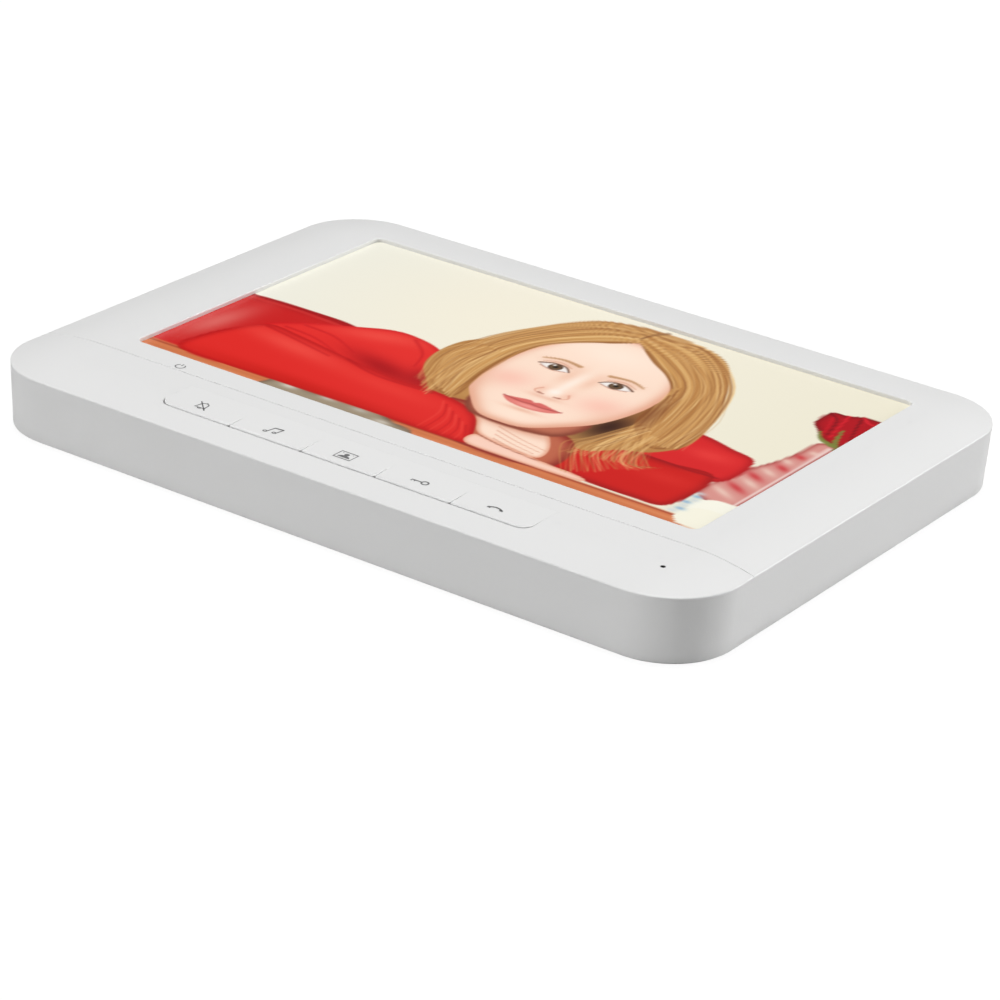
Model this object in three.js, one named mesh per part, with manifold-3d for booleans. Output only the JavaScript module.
// Video intercom monitor: a slim indoor unit with a colour screen and a row of five keys.
//
// It lies on its back. Millimetres: X runs along the long side, Y towards the top edge and
// Z out of the screen. The origin is in the middle of the footprint, on the back face.
// The housing is a front frame with a separate control panel let into its lower face, and a
// rear cover. Everything inside hangs from the frame, so its height is counted down from the
// face; the speaker and the screw cups stand on the rear cover.

import * as THREE from "three";
import { mergeVertices } from "three/addons/utils/BufferGeometryUtils.js";
import Module from "manifold-3d";

// ---- Housing -------------------------------------------------------------------------
const BODY_WIDTH = 194;
const BODY_HEIGHT = 138;
const CORNER_RADIUS = 17.2;
const EDGE_Z = 15.8; // the crisp edge between side wall and face
const FACE_RISE = 1.2; // how far the face swells above that edge
const FACE_ROLL = 15; // width of the curved band round the face
const EDGE_CHAMFER = 0.4;
const SIDE_DRAFT = 0.65; // the side wall leans in by this much at its lower end
const WALL = 2;
const FACE_THICKNESS = 1.8;
const SKIRT_Z = 0.5; // lower end of the side wall
const PART_GAP = 0.05; // clearance between pieces that are clamped together
const FIT_GAP = 0.2; // clearance between pieces that are dropped into each other

// ---- Screen --------------------------------------------------------------------------
const WINDOW_WIDTH = 154.2;
const WINDOW_HEIGHT = 92.6;
const WINDOW_RADIUS = 2;
const TOP_BEZEL = 13.8; // from the window to the upper edge of the body
const WINDOW_LIP = 1; // thickness of the frame in front of the glass
const LCD_BORDER_X = 5.4;
const LCD_BORDER_Y = 3.7;
const LCD_GAP = 0.3;
const GLASS_THICKNESS = 1.4;
const BACKLIGHT_THICKNESS = 2.7;
const TRAY_SHEET = 0.5;
const TRAY_RIM = 0.8;

// ---- Seam between the frame and the control panel ------------------------------------
const SEAM_DROP = 7.3; // below the window
const SEAM_DROOP = 1.4; // the seam sinks by this much towards its ends
const SEAM_DROOP_SPAN = 17;
const SEAM_STEPS = 4;
const SEAM_GAP = 0.25;
const DECK_THICKNESS = 1.5; // the frame's shelf under the control panel

// ---- Keys ----------------------------------------------------------------------------
const KEY_NAMES = ["mute", "melody", "view", "unlock", "talk"];
const KEY_PITCH = 20.1;
const KEY_LENGTH = 11.5; // from the hinge line to the lower edge
const KEY_DROP = 4.8; // from the seam to the hinge line
const KEY_SPLIT = 0.25; // between two keys
const KEY_LOW_GAP = 0.35; // round the lower edge and the two ends
const KEY_HINGE_GAP = 0.1;
const KEY_RADIUS = 3;
const KEY_THICKNESS = 2;
const KEY_POST_RADIUS = 1.5;
const KEY_POST_ARM = 7.5; // from the hinge line to the post
const KEY_POST_GAP = 0.05; // between post and switch plunger
const RAIL_WIDTH = 2.5; // the rail that the keys hinge on
const RAIL_HEIGHT = 0.9;
const OPENING_MARGIN = 1; // the deck's opening is this much larger than the keys

// ---- Key board and its switches ------------------------------------------------------
const KEY_BOARD_DEPTH = 9; // from the face to the board's upper side
const BOARD_THICKNESS = 1.6;
const KEY_BOARD_MARGIN_X = 17.8; // beyond the row of keys
const KEY_BOARD_BELOW = 3;
const KEY_BOARD_ABOVE = 10;
const KEY_BOARD_NOTCH = 16; // side of the square cut from a corner that a boss needs
const SWITCH_SIZE = 6;
const SWITCH_HEIGHT = 3.4;
const SWITCH_WELL = 1.2;
const PLUNGER_RADIUS = 1.6;
const PLUNGER_GAP = 0.15;
const PLUNGER_HEIGHT = 1.25;
const KEY_SCREW_MARGIN = 11.8; // screw beyond the row of keys

// ---- Power lamp and microphone -------------------------------------------------------
const LAMP_X = -59.4;
const LAMP_ABOVE_SEAM = 2;
const LAMP_WINDOW = 0.7; // wall left over the light guide
const GUIDE_RADIUS = 1.2;
const GUIDE_GAP = 0.15;
const LAMP_SIZE = [3.5, 2.8, 1.4];
const MIC_FROM_RIGHT = 15.5;
const MIC_FROM_BOTTOM = 12.3;
const MIC_HOLE_RADIUS = 0.7;
const MIC_RADIUS = 3;
const MIC_HEIGHT = 2.2;
const BOOT_WALL = 0.55;

// ---- Main board, hung under the screen's tray ----------------------------------------
const MAIN_BOARD_WIDTH = 112;
const MAIN_BOARD_HEIGHT = 80;
const MAIN_BOARD_LEFT = 4.5; // inside the tray's left edge
const MAIN_BOARD_LOW = 9.1; // inside the tray's lower edge
const MAIN_BOARD_GAP = 2.4; // between tray and board
const BOARD_SCREW_INSET = 4;
const STANDOFF_RADIUS = 2.5;
const SOCKET_HEIGHT = 2.9;
const SOCKET_WALL = 0.8;
const RIBBON_THICKNESS = 0.3;
const RIBBON_LIFT = 0.4; // a ribbon's middle above the board under it
const DISPLAY_CABLE_X = [-13, 13];
const KEY_CABLE_X = [-44, -32];
const BEND_STEPS = 6;

// ---- Rear cover ----------------------------------------------------------------------
const COVER_THICKNESS = 2;
const COVER_LIP = 0.4;
const COVER_INSET = 0.6; // the lip stands back from the side wall
const BAY_WIDTH = 62;
const BAY_HEIGHT = 14;
const BAY_FROM_BOARD_LEFT = 10;
const BAY_FROM_BOARD_TOP = 3;
const BAY_WALL = 1.2;
const HOOK_SLOT = [16, 6];
const HOOK_SLOT_X = 48;
const HOOK_SLOT_FROM_EDGE = 9.5;
const VENT_COUNT = 7;
const VENT_SIZE = [1.8, 12];
const VENT_PITCH = 4;
const LABEL_SIZE = [46, 24];
const LABEL_THICKNESS = 0.15;
const LABEL_RECESS = 0.3;

// ---- Speaker -------------------------------------------------------------------------
const SPEAKER_RADIUS = 18;
const SPEAKER_FROM_BOARD = 26; // centre beyond the main board's right edge
const SPEAKER_Y = 12;
const SPEAKER_SLOTS = 7;
const SPEAKER_SLOT_WIDTH = 2;
const SPEAKER_SLOT_PITCH = 4;
const GASKET_THICKNESS = 0.5;

// ---- Screws --------------------------------------------------------------------------
const CASE_SCREW = { shank: 1.15, head: 2.5, headHeight: 1.6, length: 7 };
const BOARD_SCREW = { shank: 0.95, head: 2.1, headHeight: 1.3, length: 4 };
const SCREW_GAP = 0.1;
const BOSS_RADIUS = 2.8;
const CUP_RADIUS = 3.4;
const CUP_HEIGHT = 3.6;

const CORNER_STEPS = 7;
const ROUND_SIDES = 16;
const SCREW_SIDES = 12;
const TURNED_SIDES = 24;

// ---- Places worked out from the sizes above ------------------------------------------
const FACE_Z = EDGE_Z + FACE_RISE;
const SEAT_Z = FACE_Z - FACE_THICKNESS;
const DECK_Z = SEAT_Z - PART_GAP - DECK_THICKNESS;
const CAVITY_INSET = SIDE_DRAFT + WALL;

const WINDOW_Y = BODY_HEIGHT / 2 - TOP_BEZEL - WINDOW_HEIGHT / 2;
const LCD_WIDTH = WINDOW_WIDTH + 2 * LCD_BORDER_X;
const LCD_HEIGHT = WINDOW_HEIGHT + 2 * LCD_BORDER_Y;
const LCD_LOW_Y = WINDOW_Y - LCD_HEIGHT / 2;
const GLASS_Z = FACE_Z - WINDOW_LIP - 0.1;
const BACKLIGHT_Z = GLASS_Z - GLASS_THICKNESS - 0.1;
const TRAY_Z = BACKLIGHT_Z - BACKLIGHT_THICKNESS - 0.1 - TRAY_SHEET;

const SEAM_Y = WINDOW_Y - WINDOW_HEIGHT / 2 - SEAM_DROP;
const LEDGE_Y = LCD_LOW_Y - LCD_GAP - PART_GAP;

const KEY_ROW = KEY_PITCH * KEY_NAMES.length;
const HINGE_Y = SEAM_Y - KEY_DROP;
const KEY_LOW_Y = HINGE_Y - KEY_LENGTH;
const KEY_POST_Y = HINGE_Y - KEY_POST_ARM;
const KEY_BOARD_Z = FACE_Z - KEY_BOARD_DEPTH;
const SWITCH_TOP_Z = KEY_BOARD_Z + PART_GAP + SWITCH_HEIGHT;
const PLUNGER_Z = SWITCH_TOP_Z - SWITCH_WELL + 0.5;
const KEY_BOARD_X = KEY_ROW / 2 + KEY_BOARD_MARGIN_X;
const KEY_SCREW_X = KEY_ROW / 2 + KEY_SCREW_MARGIN;
const KEY_SCREW_Y = HINGE_Y - 2.5;

const LAMP_Y = SEAM_Y + LAMP_ABOVE_SEAM;
const MIC_X = BODY_WIDTH / 2 - MIC_FROM_RIGHT;
const MIC_Y = -BODY_HEIGHT / 2 + MIC_FROM_BOTTOM;

const MAIN_BOARD_X = -LCD_WIDTH / 2 + MAIN_BOARD_LEFT;
const MAIN_BOARD_Y = LCD_LOW_Y + MAIN_BOARD_LOW;
const MAIN_BOARD_Z = TRAY_Z - MAIN_BOARD_GAP - BOARD_THICKNESS;
const MAIN_BOARD_RIGHT = MAIN_BOARD_X + MAIN_BOARD_WIDTH;
const MAIN_BOARD_TOP = MAIN_BOARD_Y + MAIN_BOARD_HEIGHT;

const BAY_X = MAIN_BOARD_X + BAY_FROM_BOARD_LEFT;
const BAY_Y = MAIN_BOARD_TOP - BAY_FROM_BOARD_TOP - BAY_HEIGHT;
const SPEAKER_X = MAIN_BOARD_RIGHT + SPEAKER_FROM_BOARD;

const SIDE_BOSS_X = BODY_WIDTH / 2 - 8.5;
const LOW_SCREW_X = BODY_WIDTH / 2 - 22;
const LOW_SCREW_Y = -BODY_HEIGHT / 2 + 6.7;
const CASE_SCREW_PLACES = [
  [-BODY_WIDTH / 2 + 11, BODY_HEIGHT / 2 - 9],
  [BODY_WIDTH / 2 - 11, BODY_HEIGHT / 2 - 9],
  [-SIDE_BOSS_X, -20],
  [SIDE_BOSS_X, -20],
  [-LOW_SCREW_X, LOW_SCREW_Y],
  [LOW_SCREW_X, LOW_SCREW_Y],
];
const BOARD_SCREW_PLACES = [
  [MAIN_BOARD_X + BOARD_SCREW_INSET, MAIN_BOARD_Y + BOARD_SCREW_INSET],
  [MAIN_BOARD_RIGHT - BOARD_SCREW_INSET, MAIN_BOARD_Y + BOARD_SCREW_INSET],
  [MAIN_BOARD_X + BOARD_SCREW_INSET, MAIN_BOARD_TOP - BOARD_SCREW_INSET],
  [MAIN_BOARD_RIGHT - BOARD_SCREW_INSET, MAIN_BOARD_TOP - BOARD_SCREW_INSET],
];
const BRACKET_Y = 12;
const BRACKET_WIDTH = 20;
const BRACKET_SHEET = 0.8;
const BRACKET_GRIP = 4; // how far a bracket reaches under the tray
const BRACKET_Z = TRAY_Z - PART_GAP - BRACKET_SHEET;
const PANEL_PEGS = [
  [-BODY_WIDTH / 2 + 7, HINGE_Y - 0.5],
  [BODY_WIDTH / 2 - 7, HINGE_Y - 0.5],
  [-(KEY_SCREW_X + MIC_X) / 2, HINGE_Y - 4.5],
  [(KEY_SCREW_X + MIC_X) / 2, HINGE_Y - 4.5],
];
const PEG_RADIUS = 1.2;
const PEG_LENGTH = 2.2;

const wasm = await Module();
wasm.setup();

// ---- Solids --------------------------------------------------------------------------

// A closed three.js geometry as a solid that can be joined and cut.
function solid(geometry) {
  const bare = geometry.clone();
  bare.deleteAttribute("normal");
  bare.deleteAttribute("uv");
  const merged = mergeVertices(bare, 1e-4);
  return new wasm.Manifold(
    new wasm.Mesh({
      numProp: 3,
      vertProperties: merged.attributes.position.array,
      triVerts: new Uint32Array(merged.index.array),
    }),
  );
}

// A solid's surface as a geometry for a mesh.
function surface(body) {
  const mesh = body.getMesh();
  const geometry = new THREE.BufferGeometry();
  geometry.setAttribute("position", new THREE.BufferAttribute(mesh.vertProperties, 3));
  geometry.setIndex(new THREE.BufferAttribute(mesh.triVerts, 1));
  geometry.computeVertexNormals();
  return geometry;
}

function box(x, y, z) {
  const geometry = new THREE.BoxGeometry(x[1] - x[0], y[1] - y[0], z[1] - z[0]);
  geometry.translate((x[0] + x[1]) / 2, (y[0] + y[1]) / 2, (z[0] + z[1]) / 2);
  return solid(geometry);
}

// A box given by its middle and its size in X and Y.
function block(x, y, width, height, z) {
  return box([x - width / 2, x + width / 2], [y - height / 2, y + height / 2], z);
}

function round(x, y, radius, z, sides = ROUND_SIDES) {
  const geometry = new THREE.CylinderGeometry(radius, radius, z[1] - z[0], sides);
  geometry.rotateX(Math.PI / 2);
  geometry.translate(x, y, (z[0] + z[1]) / 2);
  return solid(geometry);
}

// A turned piece: the profile holds [radius, z] pairs, upwards along its outside.
function turned(profile, x, y, sides = TURNED_SIDES) {
  const points = profile.map(([radius, z]) => new THREE.Vector2(radius, z));
  const geometry = new THREE.LatheGeometry(points, sides);
  geometry.rotateX(Math.PI / 2);
  geometry.translate(x, y, 0);
  return solid(geometry);
}

function prism(shape, z, steps = CORNER_STEPS) {
  const geometry = new THREE.ExtrudeGeometry(shape, {
    depth: z[1] - z[0],
    bevelEnabled: false,
    curveSegments: steps,
  });
  geometry.translate(0, 0, z[0]);
  return solid(geometry);
}

// A section drawn in Y and Z, drawn out along X.
function extrusionAlongX(section, x) {
  const geometry = new THREE.ExtrudeGeometry(section, {
    depth: x[1] - x[0],
    bevelEnabled: false,
    curveSegments: CORNER_STEPS,
  });
  geometry.rotateX(Math.PI / 2);
  geometry.rotateZ(Math.PI / 2);
  geometry.translate(x[0], 0, 0);
  return solid(geometry);
}

function joined(base, pieces) {
  return pieces.reduce((sum, piece) => sum.add(piece), base);
}

function cut(base, tools) {
  return tools.reduce((rest, tool) => rest.subtract(tool), base);
}

function roundedRect(width, height, radius, x = 0, y = 0) {
  const shape = new THREE.Shape();
  const dx = width / 2 - radius;
  const dy = height / 2 - radius;
  shape.absarc(x + dx, y + dy, radius, 0, Math.PI / 2);
  shape.absarc(x - dx, y + dy, radius, Math.PI / 2, Math.PI);
  shape.absarc(x - dx, y - dy, radius, Math.PI, 1.5 * Math.PI);
  shape.absarc(x + dx, y - dy, radius, 1.5 * Math.PI, 2 * Math.PI);
  shape.closePath();
  return shape;
}

function bodyOutline(inset) {
  return roundedRect(BODY_WIDTH - 2 * inset, BODY_HEIGHT - 2 * inset, CORNER_RADIUS - inset);
}

// One level of the housing: the body's outline, drawn in by inset, at height z.
function housingRing([inset, z]) {
  const radius = CORNER_RADIUS - inset;
  const ring = [];
  for (let corner = 0; corner < 4; corner += 1) {
    const sideX = corner === 0 || corner === 3 ? 1 : -1;
    const sideY = corner < 2 ? 1 : -1;
    const x = sideX * (BODY_WIDTH / 2 - CORNER_RADIUS);
    const y = sideY * (BODY_HEIGHT / 2 - CORNER_RADIUS);
    for (let step = 0; step <= CORNER_STEPS; step += 1) {
      const angle = ((corner + step / CORNER_STEPS) * Math.PI) / 2;
      ring.push([x + radius * Math.cos(angle), y + radius * Math.sin(angle), z]);
    }
  }
  return ring;
}

// The solid between a stack of equal rings, closed by a flat fan at each end.
function loft(rings) {
  const count = rings[0].length;
  const positions = rings.flat(2);
  const low = rings.length * count;
  positions.push(0, 0, rings[0][0][2], 0, 0, rings[rings.length - 1][0][2]);
  const faces = [];
  for (let i = 0; i < count; i += 1) {
    const next = (i + 1) % count;
    for (let level = 0; level + 1 < rings.length; level += 1) {
      const a = level * count;
      const b = a + count;
      faces.push(a + i, a + next, b + next, a + i, b + next, b + i);
    }
    const top = (rings.length - 1) * count;
    faces.push(low, next, i);
    faces.push(low + 1, top + i, top + next);
  }
  const geometry = new THREE.BufferGeometry();
  geometry.setAttribute("position", new THREE.Float32BufferAttribute(positions, 3));
  geometry.setIndex(faces);
  return solid(geometry);
}

// The outside of the housing: leaning side walls, a crisp edge, then a gently swelling face.
function housingBlank() {
  const levels = [
    [SIDE_DRAFT, SKIRT_Z],
    [0, EDGE_Z - EDGE_CHAMFER],
    [EDGE_CHAMFER, EDGE_Z],
  ];
  for (const t of [0.15, 0.3, 0.5, 0.7, 1]) {
    const inset = EDGE_CHAMFER + t * (FACE_ROLL - EDGE_CHAMFER);
    levels.push([inset, EDGE_Z + FACE_RISE * (1 - (1 - t) ** 2)]);
  }
  return loft(levels.map(housingRing));
}

// Everything below the seam, which sinks in a curve towards its ends.
function belowSeam(offset) {
  const end = BODY_WIDTH / 2 + 1;
  const start = BODY_WIDTH / 2 - SEAM_DROOP_SPAN;
  const right = [];
  for (let step = 0; step <= SEAM_STEPS; step += 1) {
    const share = step / SEAM_STEPS;
    right.push([start + share * (end - start), SEAM_Y + offset - SEAM_DROOP * share ** 2]);
  }
  const left = right.map(([x, y]) => [-x, y]).reverse();
  const low = -BODY_HEIGHT / 2 - 1;
  const points = [[-end, low], [end, low], ...right.reverse(), ...left.reverse()];
  return new THREE.Shape(points.map(([x, y]) => new THREE.Vector2(x, y)));
}

// ---- Housing pieces ------------------------------------------------------------------

function frontFrame() {
  const far = BODY_WIDTH;
  const inside = bodyOutline(CAVITY_INSET);
  const upper = prism(inside, [DECK_Z - 1, SEAT_Z]).intersect(
    box([-far, far], [LEDGE_Y, far], [DECK_Z - 1, SEAT_Z]),
  );
  let frame = cut(housingBlank(), [
    prism(inside, [SKIRT_Z - 1, DECK_Z]),
    upper,
    prism(belowSeam(SEAM_GAP / 2), [SEAT_Z - PART_GAP, FACE_Z + 1]),
    block(0, WINDOW_Y, LCD_WIDTH + 2 * LCD_GAP, LCD_HEIGHT + 2 * LCD_GAP, [
      SEAT_Z - 1,
      FACE_Z - WINDOW_LIP,
    ]),
    prism(roundedRect(WINDOW_WIDTH, WINDOW_HEIGHT, WINDOW_RADIUS, 0, WINDOW_Y), [
      SEAT_Z,
      FACE_Z + 1,
    ]),
  ]);
  const bosses = CASE_SCREW_PLACES.map(([x, y]) =>
    round(x, y, BOSS_RADIUS, [CUP_HEIGHT + PART_GAP, y < LEDGE_Y ? DECK_Z + 0.5 : SEAT_Z + 0.2]),
  );
  const bracketBosses = [-SIDE_BOSS_X, SIDE_BOSS_X].map((x) =>
    round(x, BRACKET_Y, BOSS_RADIUS, [TRAY_Z, SEAT_Z + 0.2]),
  );
  const keyBosses = [-KEY_SCREW_X, KEY_SCREW_X].map((x) =>
    round(x, KEY_SCREW_Y, BOSS_RADIUS, [KEY_BOARD_Z + PART_GAP, DECK_Z + 0.5]),
  );
  frame = joined(frame, [...bosses, ...bracketBosses, ...keyBosses]);
  const railRoom = HINGE_Y + FIT_GAP + RAIL_WIDTH + FIT_GAP;
  return cut(frame, [
    ...CASE_SCREW_PLACES.map(([x, y]) =>
      round(x, y, CASE_SCREW.shank + SCREW_GAP, [0, CUP_HEIGHT + CASE_SCREW.length]),
    ),
    ...[-SIDE_BOSS_X, SIDE_BOSS_X].map((x) =>
      round(x, BRACKET_Y, BOARD_SCREW.shank + SCREW_GAP, [BRACKET_Z, SEAT_Z - 0.6]),
    ),
    ...[-KEY_SCREW_X, KEY_SCREW_X].map((x) =>
      round(x, KEY_SCREW_Y, BOARD_SCREW.shank + SCREW_GAP, [KEY_BOARD_Z - 1, DECK_Z - 1]),
    ),
    box(
      [-KEY_ROW / 2 - OPENING_MARGIN, KEY_ROW / 2 + OPENING_MARGIN],
      [KEY_LOW_Y - OPENING_MARGIN, railRoom],
      [DECK_Z - 1, SEAT_Z + 1],
    ),
    ...PANEL_PEGS.map(([x, y]) => round(x, y, PEG_RADIUS + SCREW_GAP, [DECK_Z - 1, SEAT_Z + 1])),
    round(MIC_X, MIC_Y, MIC_RADIUS / 2, [DECK_Z - 1, SEAT_Z + 1]),
    round(LAMP_X, LAMP_Y, GUIDE_RADIUS + GUIDE_GAP, [DECK_Z - 1, FACE_Z - LAMP_WINDOW]),
  ]);
}

// The opening for the keys: square at the hinge, rounded at the two lower corners.
function keyRowShape(width, low, high, radius) {
  const shape = new THREE.Shape();
  const half = width / 2;
  shape.moveTo(half, high);
  shape.lineTo(-half, high);
  shape.absarc(-half + radius, low + radius, radius, Math.PI, 1.5 * Math.PI);
  shape.absarc(half - radius, low + radius, radius, 1.5 * Math.PI, 2 * Math.PI);
  shape.closePath();
  return shape;
}

function controlPanel() {
  const lower = prism(belowSeam(-SEAM_GAP / 2), [SEAT_Z, FACE_Z + 1]);
  const keyHole = keyRowShape(
    KEY_ROW - KEY_SPLIT + 2 * KEY_LOW_GAP,
    KEY_LOW_Y - KEY_LOW_GAP,
    HINGE_Y + KEY_HINGE_GAP,
    KEY_RADIUS + KEY_LOW_GAP,
  );
  const panel = joined(
    housingBlank().intersect(lower),
    PANEL_PEGS.map(([x, y]) => round(x, y, PEG_RADIUS, [SEAT_Z - PEG_LENGTH, SEAT_Z + 0.2])),
  );
  return cut(panel, [
    prism(keyHole, [SEAT_Z - 1, FACE_Z + 1]),
    round(MIC_X, MIC_Y, MIC_HOLE_RADIUS, [SEAT_Z - 1, FACE_Z + 1], 16),
  ]);
}

function speakerSlots() {
  const slots = [];
  for (let i = 0; i < SPEAKER_SLOTS; i += 1) {
    const y = (i - (SPEAKER_SLOTS - 1) / 2) * SPEAKER_SLOT_PITCH;
    const half = Math.sqrt((SPEAKER_RADIUS - 4) ** 2 - y ** 2);
    slots.push(
      block(SPEAKER_X, SPEAKER_Y + y, 2 * half, SPEAKER_SLOT_WIDTH, [-1, COVER_THICKNESS + 1]),
    );
  }
  return slots;
}

function ventSlots() {
  const slots = [];
  for (let i = 0; i < VENT_COUNT; i += 1) {
    const x = BAY_X + BAY_WIDTH + 10 + i * VENT_PITCH;
    slots.push(block(x, BAY_Y + BAY_HEIGHT / 2, ...VENT_SIZE, [-1, COVER_THICKNESS + 1]));
  }
  return slots;
}

function hookSlots() {
  const high = BODY_HEIGHT / 2 - HOOK_SLOT_FROM_EDGE;
  const places = [
    [-HOOK_SLOT_X, high],
    [HOOK_SLOT_X, high],
    [0, -high],
  ];
  return places.map(([x, y]) => block(x, y, ...HOOK_SLOT, [-1, COVER_THICKNESS + 1]));
}

const LABEL_PLACE = [0, -10];

function rearCover() {
  const lipOutline = bodyOutline(SIDE_DRAFT + COVER_INSET);
  const plugOutline = bodyOutline(CAVITY_INSET + FIT_GAP);
  const bayMiddle = [BAY_X + BAY_WIDTH / 2, BAY_Y + BAY_HEIGHT / 2];
  const bayTop = MAIN_BOARD_Z - 0.4;
  const cover = joined(prism(lipOutline, [0, COVER_LIP]), [
    prism(plugOutline, [COVER_LIP / 2, COVER_THICKNESS]),
    ...CASE_SCREW_PLACES.map(([x, y]) => round(x, y, CUP_RADIUS, [COVER_LIP, CUP_HEIGHT])),
    block(...bayMiddle, BAY_WIDTH + 2 * BAY_WALL, BAY_HEIGHT + 2 * BAY_WALL, [
      COVER_LIP,
      bayTop,
    ]),
    round(SPEAKER_X, SPEAKER_Y, SPEAKER_RADIUS + 1.3, [COVER_LIP, COVER_THICKNESS + 2], 32),
  ]);
  return cut(cover, [
    round(SPEAKER_X, SPEAKER_Y, SPEAKER_RADIUS + FIT_GAP, [COVER_THICKNESS, COVER_THICKNESS + 3], 32),
    block(...bayMiddle, BAY_WIDTH, BAY_HEIGHT, [-1, bayTop + 1]),
    ...CASE_SCREW_PLACES.map(([x, y]) =>
      round(x, y, CASE_SCREW.head + SCREW_GAP, [-1, COVER_THICKNESS]),
    ),
    ...CASE_SCREW_PLACES.map(([x, y]) =>
      round(x, y, CASE_SCREW.shank + SCREW_GAP, [0, CUP_HEIGHT + 1]),
    ),
    ...speakerSlots(),
    ...ventSlots(),
    ...hookSlots(),
    block(...LABEL_PLACE, LABEL_SIZE[0] + 1, LABEL_SIZE[1] + 1, [-1, LABEL_RECESS]),
  ]);
}

function ratingLabel() {
  const low = LABEL_RECESS - PART_GAP - LABEL_THICKNESS;
  return block(...LABEL_PLACE, ...LABEL_SIZE, [low, low + LABEL_THICKNESS]);
}

// ---- Keys ----------------------------------------------------------------------------

function keyCentre(index) {
  return (index - (KEY_NAMES.length - 1) / 2) * KEY_PITCH;
}

// A key is its share of the row, with a post that reaches down to its switch.
function key(index) {
  const x = keyCentre(index);
  const half = (KEY_PITCH - KEY_SPLIT) / 2;
  const low = FACE_Z - KEY_THICKNESS;
  const row = prism(keyRowShape(KEY_ROW - KEY_SPLIT, KEY_LOW_Y, HINGE_Y, KEY_RADIUS), [low, FACE_Z]);
  const share = box([x - half, x + half], [KEY_LOW_Y - 1, HINGE_Y + 1], [low - 1, FACE_Z + 1]);
  const postLow = PLUNGER_Z + PLUNGER_HEIGHT + KEY_POST_GAP;
  return row.intersect(share).add(round(x, KEY_POST_Y, KEY_POST_RADIUS, [postLow, low + 0.5], 16));
}

function keyRail() {
  const low = SEAT_Z - PART_GAP - RAIL_HEIGHT;
  const y = HINGE_Y + FIT_GAP;
  return box([-KEY_ROW / 2, KEY_ROW / 2], [y, y + RAIL_WIDTH], [low, low + RAIL_HEIGHT]);
}

function keySwitch(index) {
  const x = keyCentre(index);
  const low = KEY_BOARD_Z + PART_GAP;
  return block(x, KEY_POST_Y, SWITCH_SIZE, SWITCH_SIZE, [low, SWITCH_TOP_Z]).subtract(
    round(x, KEY_POST_Y, PLUNGER_RADIUS + PLUNGER_GAP, [SWITCH_TOP_Z - SWITCH_WELL, SWITCH_TOP_Z + 1], 16),
  );
}

function plunger(index) {
  return round(
    keyCentre(index),
    KEY_POST_Y,
    PLUNGER_RADIUS,
    [PLUNGER_Z, PLUNGER_Z + PLUNGER_HEIGHT],
    16,
  );
}

// The board's lower corners step back where a boss of the case comes near them.
function keyBoard() {
  const z = [KEY_BOARD_Z - BOARD_THICKNESS, KEY_BOARD_Z];
  const y = [KEY_LOW_Y - KEY_BOARD_BELOW, HINGE_Y + KEY_BOARD_ABOVE];
  const past = [z[0] - 1, z[1] + 1];
  const reach = KEY_BOARD_NOTCH / 2 - BOSS_RADIUS - 2 * FIT_GAP;
  return cut(box([-KEY_BOARD_X, KEY_BOARD_X], y, z), [
    ...[-KEY_SCREW_X, KEY_SCREW_X].map((x) =>
      round(x, KEY_SCREW_Y, BOARD_SCREW.shank + 3 * SCREW_GAP, past),
    ),
    ...[-1, 1].map((side) =>
      block(side * (LOW_SCREW_X + reach), LOW_SCREW_Y - reach, KEY_BOARD_NOTCH, KEY_BOARD_NOTCH, past),
    ),
  ]);
}

// ---- Power lamp and microphone -------------------------------------------------------

function powerLed() {
  const low = KEY_BOARD_Z + PART_GAP;
  const [width, height, thickness] = LAMP_SIZE;
  return block(LAMP_X, LAMP_Y, width, height, [low, low + thickness]);
}

function lightGuide() {
  const low = KEY_BOARD_Z + PART_GAP + LAMP_SIZE[2] + PART_GAP;
  return round(LAMP_X, LAMP_Y, GUIDE_RADIUS, [low, FACE_Z - LAMP_WINDOW - PART_GAP], 16);
}

function microphone() {
  const top = DECK_Z - PART_GAP - BOOT_WALL;
  return turned(
    [
      [0, top - MIC_HEIGHT],
      [MIC_RADIUS, top - MIC_HEIGHT],
      [MIC_RADIUS, top - 0.3],
      [MIC_RADIUS - 0.3, top],
      [0, top],
    ],
    MIC_X,
    MIC_Y,
  );
}

// A rubber cup round the microphone, pressed against the deck, with a hole for the sound.
function micBoot() {
  const top = DECK_Z - PART_GAP;
  const ceiling = top - BOOT_WALL + PART_GAP;
  const low = top - BOOT_WALL - MIC_HEIGHT;
  const inner = MIC_RADIUS + PART_GAP;
  return turned(
    [
      [inner, low],
      [MIC_RADIUS + BOOT_WALL, low],
      [MIC_RADIUS + BOOT_WALL, top],
      [MIC_RADIUS / 2, top],
      [MIC_RADIUS / 2, ceiling],
      [inner, ceiling],
      [inner, low],
    ],
    MIC_X,
    MIC_Y,
  );
}

// ---- Screen --------------------------------------------------------------------------

function lcdGlass() {
  return block(0, WINDOW_Y, LCD_WIDTH - 0.5, LCD_HEIGHT - 0.5, [GLASS_Z - GLASS_THICKNESS, GLASS_Z]);
}

function backlight() {
  const margin = 2 * (TRAY_RIM + FIT_GAP);
  return block(0, WINDOW_Y, LCD_WIDTH - margin, LCD_HEIGHT - margin, [
    BACKLIGHT_Z - BACKLIGHT_THICKNESS,
    BACKLIGHT_Z,
  ]);
}

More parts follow.
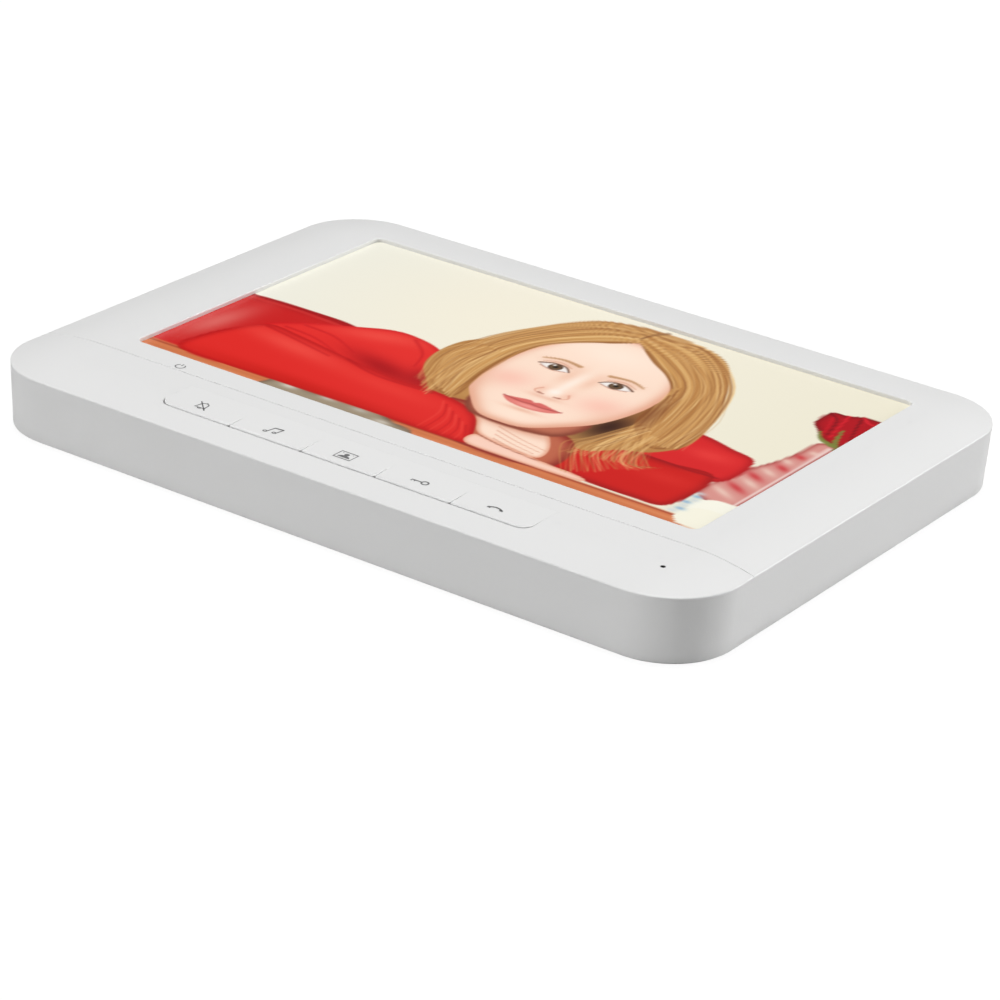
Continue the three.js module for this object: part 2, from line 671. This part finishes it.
// A pressed steel pan that holds the backlight and carries four standoffs for the board.
function lcdTray() {
  const pan = block(0, WINDOW_Y, LCD_WIDTH, LCD_HEIGHT, [TRAY_Z, BACKLIGHT_Z]);
  const hollow = block(0, WINDOW_Y, LCD_WIDTH - 2 * TRAY_RIM, LCD_HEIGHT - 2 * TRAY_RIM, [
    TRAY_Z + TRAY_SHEET,
    BACKLIGHT_Z + 1,
  ]);
  const standoffLow = MAIN_BOARD_Z + BOARD_THICKNESS + PART_GAP;
  const standoffs = BOARD_SCREW_PLACES.map(([x, y]) =>
    round(x, y, STANDOFF_RADIUS, [standoffLow, TRAY_Z + TRAY_SHEET / 2]),
  );
  const bores = BOARD_SCREW_PLACES.map(([x, y]) =>
    round(x, y, BOARD_SCREW.shank + SCREW_GAP, [standoffLow - 1, TRAY_Z + TRAY_SHEET / 4]),
  );
  return cut(joined(pan.subtract(hollow), standoffs), bores);
}

// A flat steel tab that clamps the tray's edge against the frame.
function lcdBracket(side) {
  const outer = SIDE_BOSS_X + BOSS_RADIUS;
  const inner = LCD_WIDTH / 2 - BRACKET_GRIP;
  const tab = block(side * (inner + outer) / 2, BRACKET_Y, outer - inner, BRACKET_WIDTH, [
    BRACKET_Z,
    BRACKET_Z + BRACKET_SHEET,
  ]);
  return tab.subtract(
    round(side * SIDE_BOSS_X, BRACKET_Y, BOARD_SCREW.shank + 3 * SCREW_GAP, [
      BRACKET_Z - 1,
      BRACKET_Z + BRACKET_SHEET + 1,
    ]),
  );
}

// ---- Main board ----------------------------------------------------------------------

function mainBoard() {
  const z = [MAIN_BOARD_Z, MAIN_BOARD_Z + BOARD_THICKNESS];
  const holes = BOARD_SCREW_PLACES.map(([x, y]) =>
    round(x, y, BOARD_SCREW.shank + 3 * SCREW_GAP, [z[0] - 1, z[1] + 1]),
  );
  return cut(box([MAIN_BOARD_X, MAIN_BOARD_RIGHT], [MAIN_BOARD_Y, MAIN_BOARD_TOP], z), holes);
}

// A component under the main board, placed from the board's lower left corner.
function underBoard(x, y, width, height, depth) {
  const top = MAIN_BOARD_Z - PART_GAP;
  return block(MAIN_BOARD_X + x, MAIN_BOARD_Y + y, width, height, [top - depth, top]);
}

function roundUnderBoard(x, y, radius, depth) {
  const top = MAIN_BOARD_Z - PART_GAP;
  return round(MAIN_BOARD_X + x, MAIN_BOARD_Y + y, radius, [top - depth, top]);
}

// A plug socket: a shallow box that is open towards the back.
function socket(x, width) {
  const y = BAY_Y + BAY_HEIGHT / 2;
  const top = MAIN_BOARD_Z - PART_GAP;
  const height = 8;
  return block(BAY_X + x, y, width, height, [top - SOCKET_HEIGHT, top]).subtract(
    block(BAY_X + x, y, width - 2 * SOCKET_WALL, height - 2 * SOCKET_WALL, [
      top - SOCKET_HEIGHT - 1,
      top - SOCKET_WALL,
    ]),
  );
}

// ---- Ribbon cables -------------------------------------------------------------------

// A flat ribbon whose side view follows the points [y, z], drawn with the given thickness.
function ribbon(points, thickness, x) {
  const half = thickness / 2;
  const offset = (side) =>
    points.map(([y, z], i) => {
      const before = points[Math.max(i - 1, 0)];
      const after = points[Math.min(i + 1, points.length - 1)];
      const length = Math.hypot(after[0] - before[0], after[1] - before[1]);
      const normal = [-(after[1] - before[1]) / length, (after[0] - before[0]) / length];
      return new THREE.Vector2(y + side * half * normal[0], z + side * half * normal[1]);
    });
  return extrusionAlongX(new THREE.Shape([...offset(1), ...offset(-1).reverse()]), x);
}

// From the lower edge of the screen, down round the tray and in over the main board.
function displayCable() {
  const edge = LCD_LOW_Y - 0.4;
  const high = TRAY_Z + 1.6;
  const low = MAIN_BOARD_Z + BOARD_THICKNESS + RIBBON_LIFT;
  const bend = (high - low) / 2;
  const points = [[edge + 0.2, high]];
  for (let step = 1; step <= BEND_STEPS; step += 1) {
    const angle = Math.PI / 2 + (step / BEND_STEPS) * Math.PI;
    points.push([edge + bend * Math.cos(angle), high - bend + bend * Math.sin(angle)]);
  }
  points.push([MAIN_BOARD_Y + 10, low]);
  return ribbon(points, RIBBON_THICKNESS, DISPLAY_CABLE_X);
}

// From the key board, up a step, to the lower edge of the main board.
function keyCable() {
  const low = KEY_BOARD_Z + RIBBON_LIFT;
  const high = MAIN_BOARD_Z + BOARD_THICKNESS + RIBBON_LIFT;
  const start = HINGE_Y + KEY_BOARD_ABOVE - 5;
  const end = MAIN_BOARD_Y + 5;
  const points = [[start, low], [start + 5.5, low], [end - 5.5, high], [end, high]];
  return ribbon(points, RIBBON_THICKNESS, KEY_CABLE_X);
}

// ---- Speaker -------------------------------------------------------------------------

const GASKET_Z = COVER_THICKNESS + PART_GAP;
const BASKET_Z = GASKET_Z + GASKET_THICKNESS + PART_GAP;

function speakerGasket() {
  const r = SPEAKER_RADIUS;
  const [low, high] = [GASKET_Z, GASKET_Z + GASKET_THICKNESS];
  return turned([[r - 2.5, low], [r, low], [r, high], [r - 2.5, high], [r - 2.5, low]], SPEAKER_X, SPEAKER_Y);
}

function speakerBasket() {
  const r = SPEAKER_RADIUS;
  const z = BASKET_Z;
  return turned(
    [
      [r - 2.5, z],
      [r, z],
      [r, z + 0.9],
      [r - 2, z + 0.9],
      [0.55 * r, z + 3.6],
      [0, z + 3.6],
      [0, z + 2.9],
      [0.5 * r, z + 2.9],
      [r - 2.9, z + 0.9],
      [r - 2.5, z],
    ],
    SPEAKER_X,
    SPEAKER_Y,
  );
}

function speakerCone() {
  const r = SPEAKER_RADIUS - 3.4;
  const z = BASKET_Z;
  return turned(
    [
      [0, z + 0.9],
      [2.6, z + 1.3],
      [4.4, z + 2.1],
      [r - 2, z + 0.3],
      [r, z + 0.2],
      [r, z + 0.5],
      [r - 2, z + 0.6],
      [4.4, z + 2.5],
      [0, z + 2.6],
    ],
    SPEAKER_X,
    SPEAKER_Y,
  );
}

function speakerMagnet() {
  const low = BASKET_Z + 3.6 + PART_GAP;
  return round(SPEAKER_X, SPEAKER_Y, 0.45 * SPEAKER_RADIUS, [low, low + 3], TURNED_SIDES);
}

// ---- Screws --------------------------------------------------------------------------

// A pan-head screw pointing up, its head's seat at height z.
function screw({ shank, head, headHeight, length }, x, y, z) {
  const recess = headHeight / 2;
  const body = turned(
    [
      [0, z - headHeight],
      [0.7 * head, z - headHeight],
      [head, z - 0.5 * headHeight],
      [head, z],
      [shank, z],
      [shank, z + length - shank],
      [0, z + length],
    ],
    x,
    y,
    SCREW_SIDES,
  );
  const slotZ = [z - headHeight - 1, z - headHeight + recess];
  const cross = block(x, y, head, 0.25 * head, slotZ).add(block(x, y, 0.25 * head, head, slotZ));
  return body.subtract(cross);
}

// ---- Materials -----------------------------------------------------------------------

function finish(color, roughness, metalness = 0) {
  return new THREE.MeshStandardMaterial({ color, roughness, metalness });
}

const WHITE_SHELL = finish(0xe9e9e8, 0.45);
const WHITE_KEY = finish(0xebebea, 0.4);
const BACK_SHELL = finish(0xe2e2e1, 0.6);
const GLASS = finish(0x1a1c20, 0.12);
const LIGHT_SHEET = finish(0xf2f4f0, 0.5);
const STEEL = finish(0xb9bcc0, 0.35, 1);
const CIRCUIT = finish(0x1f6b3a, 0.5);
const CHIP = finish(0x18191b, 0.55);
const CAN = finish(0xc4c6c8, 0.3, 1);
const NYLON = finish(0xefece2, 0.5);
const RUBBER = finish(0x1e1e20, 0.85);
const CLEAR = finish(0xdfe8ea, 0.2);
const FERRITE = finish(0x34363a, 0.6);
const PAPER = finish(0x3a3836, 0.8);
const RIBBON = finish(0xd8d2c2, 0.45);
const LABEL = finish(0xd6d8da, 0.4);
const SWITCH_TOP = finish(0x2a2b2e, 0.4);

// ---- Assembly ------------------------------------------------------------------------

const monitor = new THREE.Group();
monitor.name = "video_intercom_monitor";

function place(group, name, body, material) {
  const mesh = new THREE.Mesh(surface(body), material);
  mesh.name = name;
  group.add(mesh);
}

const housing = new THREE.Group();
place(housing, "front_frame", frontFrame(), WHITE_SHELL);
place(housing, "control_panel", controlPanel(), WHITE_SHELL);
place(housing, "rear_cover", rearCover(), BACK_SHELL);
place(housing, "rating_label", ratingLabel(), LABEL);
CASE_SCREW_PLACES.forEach(([x, y], i) => {
  place(housing, `case_screw_${i + 1}`, screw(CASE_SCREW, x, y, COVER_THICKNESS - PART_GAP), STEEL);
});
monitor.add(housing);

const controls = new THREE.Group();
KEY_NAMES.forEach((name, i) => {
  place(controls, `key_${name}`, key(i), WHITE_KEY);
  place(controls, `switch_${name}`, keySwitch(i), CAN);
  place(controls, `plunger_${name}`, plunger(i), SWITCH_TOP);
});
place(controls, "key_rail", keyRail(), WHITE_KEY);
place(controls, "key_board", keyBoard(), CIRCUIT);
place(controls, "power_led", powerLed(), CLEAR);
place(controls, "light_guide", lightGuide(), CLEAR);
place(controls, "microphone", microphone(), CAN);
place(controls, "mic_boot", micBoot(), RUBBER);
[-KEY_SCREW_X, KEY_SCREW_X].forEach((x, i) => {
  const seat = KEY_BOARD_Z - BOARD_THICKNESS - PART_GAP;
  place(controls, `key_board_screw_${i + 1}`, screw(BOARD_SCREW, x, KEY_SCREW_Y, seat), STEEL);
});
monitor.add(controls);

const screen = new THREE.Group();
place(screen, "lcd_glass", lcdGlass(), GLASS);
place(screen, "backlight", backlight(), LIGHT_SHEET);
place(screen, "lcd_tray", lcdTray(), STEEL);
[-1, 1].forEach((side) => {
  const hand = side < 0 ? "left" : "right";
  const fixing = screw(BOARD_SCREW, side * SIDE_BOSS_X, BRACKET_Y, BRACKET_Z - PART_GAP);
  place(screen, `lcd_bracket_${hand}`, lcdBracket(side), STEEL);
  place(screen, `bracket_screw_${hand}`, fixing, STEEL);
});
monitor.add(screen);

const electronics = new THREE.Group();
place(electronics, "main_board", mainBoard(), CIRCUIT);
place(electronics, "processor", underBoard(62, 38, 17, 17, 1.4), CHIP);
place(electronics, "memory_chip", underBoard(84, 38, 9, 13, 1), CHIP);
place(electronics, "shield_can", underBoard(30, 30, 24, 18, 2.6), CAN);
place(electronics, "capacitor_1", roundUnderBoard(16, 14, 4, 4), FERRITE);
place(electronics, "capacitor_2", roundUnderBoard(27, 14, 4, 4), FERRITE);
place(electronics, "inductor", underBoard(41, 13, 10, 10, 3.6), FERRITE);
place(electronics, "power_socket", socket(10, 9), NYLON);
place(electronics, "door_socket_1", socket(28, 13), NYLON);
place(electronics, "door_socket_2", socket(47, 13), NYLON);
BOARD_SCREW_PLACES.forEach(([x, y], i) => {
  const fixing = screw(BOARD_SCREW, x, y, MAIN_BOARD_Z - PART_GAP);
  place(electronics, `board_screw_${i + 1}`, fixing, STEEL);
});
place(electronics, "display_cable", displayCable(), RIBBON);
place(electronics, "key_cable", keyCable(), RIBBON);
monitor.add(electronics);

const speaker = new THREE.Group();
place(speaker, "speaker_gasket", speakerGasket(), RUBBER);
place(speaker, "speaker_basket", speakerBasket(), STEEL);
place(speaker, "speaker_cone", speakerCone(), PAPER);
place(speaker, "speaker_magnet", speakerMagnet(), FERRITE);
monitor.add(speaker);

export default monitor;
